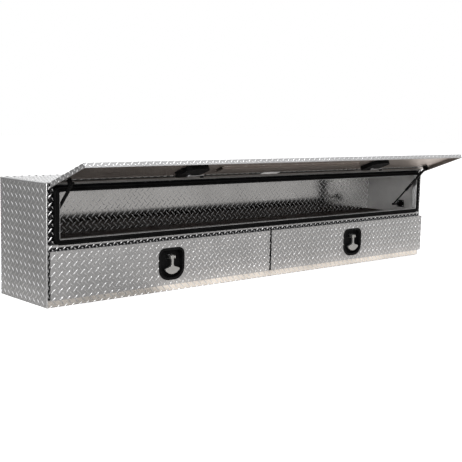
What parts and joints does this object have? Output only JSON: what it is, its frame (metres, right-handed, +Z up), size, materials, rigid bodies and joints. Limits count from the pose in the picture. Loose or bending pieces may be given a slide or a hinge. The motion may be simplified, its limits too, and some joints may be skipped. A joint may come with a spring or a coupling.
{
  "type": "truck tool box",
  "caption": "Long top-side truck tool box of tread-plate aluminium with a flip-up door on gas struts over drawers, folding flush T-handle latches and a sealed opening.",
  "frame": {"origin": "centre of the underside, where the box rests on a truck bed or rail", "axes": "+X along the length towards the right-hand end seen from the front, -Y out of the door and drawer side, +Z up"},
  "size_m": [2.235, 0.5876, 0.5408],
  "materials": {
    "tread_plate": "bright mill finish with raised lugs, lightly scuffed",
    "plain_sheet": "smooth mill finish",
    "zinc_steel": "zinc plated",
    "stainless": "satin",
    "black_coated": "textured black powder coat",
    "strut_black": "satin black",
    "seal_rubber": "matte"
  },
  "bodies": {
    "body": {"body_shell": "tread_plate", "front_frame": "tread_plate", "left_end_panel": "tread_plate", "right_end_panel": "tread_plate", "opening_collar": "plain_sheet", "door_seal": "seal_rubber", "compartment_floor": "plain_sheet", "drawer_divider": "plain_sheet", "hinge_body_leaf": "stainless", "hinge_pin": "stainless", "left_strut_wall_bracket": "strut_black", "right_strut_wall_bracket": "strut_black", "left_drawer_striker": "zinc_steel", "right_drawer_striker": "zinc_steel", "left_outer_slide_fixed": "zinc_steel", "left_centre_slide_fixed": "zinc_steel", "right_outer_slide_fixed": "zinc_steel", "right_centre_slide_fixed": "zinc_steel"},
    "door": {"door_pan": "tread_plate", "door_stiffener": "plain_sheet", "hinge_door_leaf": "stainless", "door_left_latch_dish": "black_coated", "door_right_latch_dish": "black_coated", "left_strut_door_bracket": "strut_black", "right_strut_door_bracket": "strut_black", "blank_name_plate": "plain_sheet"},
    "door_left_handle": {"door_left_latch_handle": "stainless"},
    "door_right_handle": {"door_right_latch_handle": "stainless"},
    "door_left_cam": {"door_left_latch_spindle": "zinc_steel", "door_left_latch_cam": "zinc_steel"},
    "door_right_cam": {"door_right_latch_spindle": "zinc_steel", "door_right_latch_cam": "zinc_steel"},
    "left_rod": {"left_strut_rod": "strut_black"},
    "left_barrel": {"left_strut_barrel": "strut_black"},
    "right_rod": {"right_strut_rod": "strut_black"},
    "right_barrel": {"right_strut_barrel": "strut_black"},
    "left_drawer": {"left_drawer_front": "tread_plate", "left_drawer_tray": "plain_sheet", "left_outer_slide_inner": "zinc_steel", "left_centre_slide_inner": "zinc_steel", "left_drawer_latch_dish": "black_coated"},
    "right_drawer": {"right_drawer_front": "tread_plate", "right_drawer_tray": "plain_sheet", "right_outer_slide_inner": "zinc_steel", "right_centre_slide_inner": "zinc_steel", "right_drawer_latch_dish": "black_coated"},
    "left_slide_middles": {"left_outer_slide_middle": "zinc_steel", "left_centre_slide_middle": "zinc_steel"},
    "right_slide_middles": {"right_outer_slide_middle": "zinc_steel", "right_centre_slide_middle": "zinc_steel"},
    "left_drawer_handle": {"left_drawer_latch_handle": "stainless"},
    "right_drawer_handle": {"right_drawer_latch_handle": "stainless"},
    "left_drawer_cam": {"left_drawer_latch_spindle": "zinc_steel", "left_drawer_latch_cam": "zinc_steel"},
    "right_drawer_cam": {"right_drawer_latch_spindle": "zinc_steel", "right_drawer_latch_cam": "zinc_steel"}
  },
  "joints": [
    {"name": "door_hinge", "type": "hinge", "parent": "body", "child": "door", "pos_m": [0, -0.1865, 0.453], "axis": [1, 0, 0], "range_deg": [0, 110.5]},
    {"name": "left_rod_swing", "type": "hinge", "parent": "body", "child": "left_rod", "pos_m": [-1.052, -0.0515, 0.262], "axis": [1, 0, 0], "range_deg": [-3.5, 0]},
    {"name": "right_rod_swing", "type": "hinge", "parent": "body", "child": "right_rod", "pos_m": [1.052, -0.0515, 0.262], "axis": [1, 0, 0], "range_deg": [-3.5, 0]},
    {"name": "left_barrel_slide", "type": "slide", "parent": "left_rod", "child": "left_barrel", "axis": [0, -0.6945, 0.7195], "range_m": [-0.0865, 0]},
    {"name": "right_barrel_slide", "type": "slide", "parent": "right_rod", "child": "right_barrel", "axis": [0, -0.6945, 0.7195], "range_m": [-0.0865, 0]},
    {"name": "left_drawer_slide", "type": "slide", "parent": "body", "child": "left_drawer", "axis": [0, -1, 0], "range_m": [0, 0.29]},
    {"name": "right_drawer_slide", "type": "slide", "parent": "body", "child": "right_drawer", "axis": [0, -1, 0], "range_m": [0, 0.29]},
    {"name": "left_middles_slide", "type": "slide", "parent": "body", "child": "left_slide_middles", "axis": [0, -1, 0], "range_m": [0, 0.145]},
    {"name": "right_middles_slide", "type": "slide", "parent": "body", "child": "right_slide_middles", "axis": [0, -1, 0], "range_m": [0, 0.145]},
    {"name": "door_left_handle_fold", "type": "hinge", "parent": "door", "child": "door_left_handle", "pos_m": [-0.55875, -0.28462, 0.49609], "axis": [-1, 0, 0], "range_deg": [0, 90]},
    {"name": "door_right_handle_fold", "type": "hinge", "parent": "door", "child": "door_right_handle", "pos_m": [0.55875, -0.28462, 0.49609], "axis": [-1, 0, 0], "range_deg": [0, 90]},
    {"name": "left_drawer_handle_fold", "type": "hinge", "parent": "left_drawer", "child": "left_drawer_handle", "pos_m": [-0.55875, -0.1925, 0.142], "axis": [-1, 0, 0], "range_deg": [0, 90]},
    {"name": "right_drawer_handle_fold", "type": "hinge", "parent": "right_drawer", "child": "right_drawer_handle", "pos_m": [0.55875, -0.1925, 0.142], "axis": [-1, 0, 0], "range_deg": [0, 90]},
    {"name": "door_left_cam_turn", "type": "hinge", "parent": "door", "child": "door_left_cam", "pos_m": [-0.55875, -0.29653, 0.46425], "axis": [0, -0.3502, -0.9367], "range_deg": [0, 90]},
    {"name": "door_right_cam_turn", "type": "hinge", "parent": "door", "child": "door_right_cam", "pos_m": [0.55875, -0.29653, 0.46425], "axis": [0, -0.3502, -0.9367], "range_deg": [0, 90]},
    {"name": "left_drawer_cam_turn", "type": "hinge", "parent": "left_drawer", "child": "left_drawer_cam", "pos_m": [-0.55875, -0.1585, 0.142], "axis": [0, 1, 0], "range_deg": [0, 90]},
    {"name": "right_drawer_cam_turn", "type": "hinge", "parent": "right_drawer", "child": "right_drawer_cam", "pos_m": [0.55875, -0.1585, 0.142], "axis": [0, 1, 0], "range_deg": [0, 90]}
  ],
  "couplings": [
    {"joint": "left_rod_swing", "follows": "door_hinge", "ratio": -0.030615},
    {"joint": "right_rod_swing", "follows": "door_hinge", "ratio": -0.030615},
    {"joint": "left_barrel_slide", "follows": "door_hinge", "m_per_rad": -0.04478},
    {"joint": "right_barrel_slide", "follows": "door_hinge", "m_per_rad": -0.04478},
    {"joint": "left_middles_slide", "follows": "left_drawer_slide", "ratio": 0.5},
    {"joint": "right_middles_slide", "follows": "right_drawer_slide", "ratio": 0.5},
    {"joint": "door_left_cam_turn", "follows": "door_left_handle_fold", "ratio": 1},
    {"joint": "door_right_cam_turn", "follows": "door_right_handle_fold", "ratio": 1},
    {"joint": "left_drawer_cam_turn", "follows": "left_drawer_handle_fold", "ratio": 1},
    {"joint": "right_drawer_cam_turn", "follows": "right_drawer_handle_fold", "ratio": 1}
  ]
}
